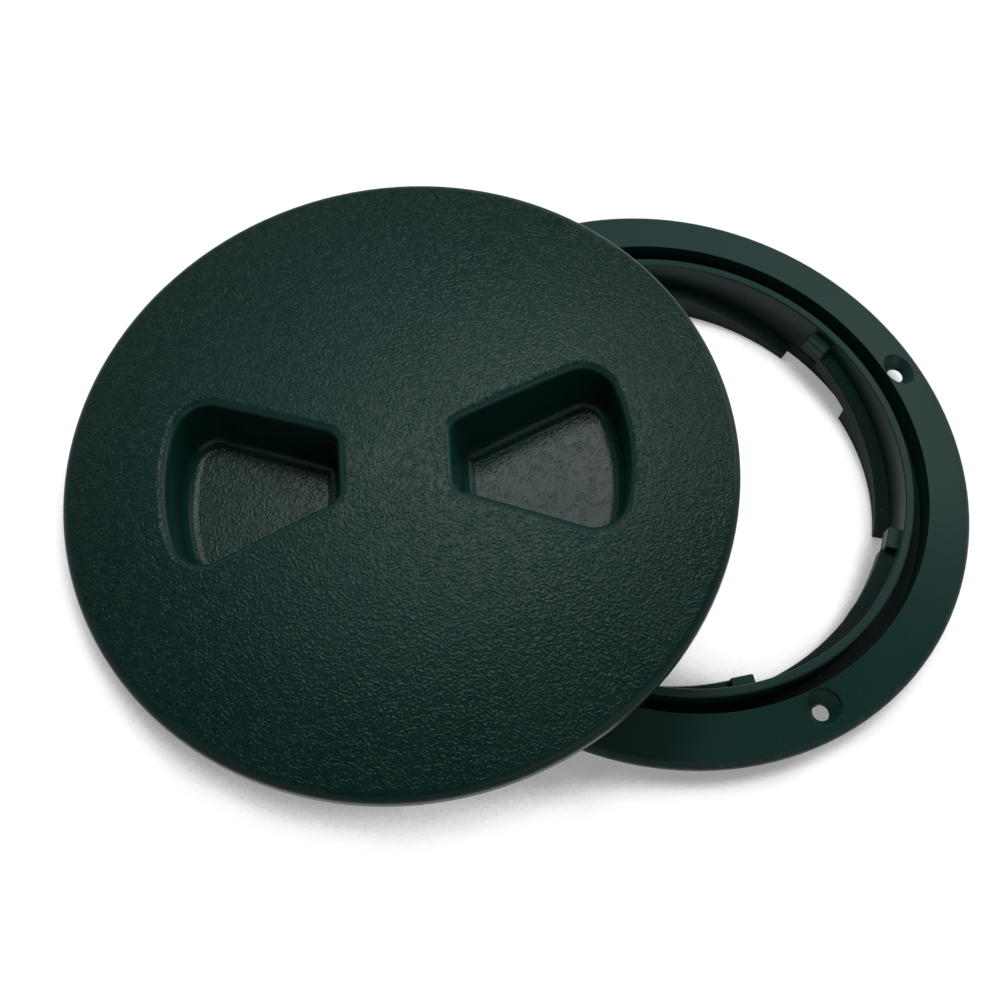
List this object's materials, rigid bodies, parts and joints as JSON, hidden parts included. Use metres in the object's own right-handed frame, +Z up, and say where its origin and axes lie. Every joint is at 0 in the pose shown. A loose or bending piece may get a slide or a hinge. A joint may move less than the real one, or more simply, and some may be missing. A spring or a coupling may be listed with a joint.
{
  "type": "deck inspection plate",
  "caption": "Round deck inspection plate: a screw-down ring with inner ramps and a deep seal groove, and its domed twist-lock lid with finger pockets, taken off and leaning on the ring.",
  "frame": {"origin": "on the ring's axis at the deck surface, which is the plane of the flange's underside", "axes": "+Z up along the ring's axis, out of the deck; the screw holes lie at 45 degrees to +X and +Y"},
  "size_m": [0.2356, 0.2031, 0.0502],
  "materials": {
    "ring_plastic": "moulded plastic, satin, nearly black with a green cast",
    "lid_plastic": "moulded plastic with a fine leather grain, nearly black with a green cast",
    "seal_rubber": "matt black rubber"
  },
  "bodies": {
    "ring": {"frame": "ring_plastic"},
    "lid": {"lid": "lid_plastic", "seal_ring": "seal_rubber"}
  },
  "joints": [
    {"name": "lid_lift", "type": "slide", "parent": "ring", "child": "lid", "axis": [0, 0, 1], "range_m": [0, 0.06]}
  ]
}
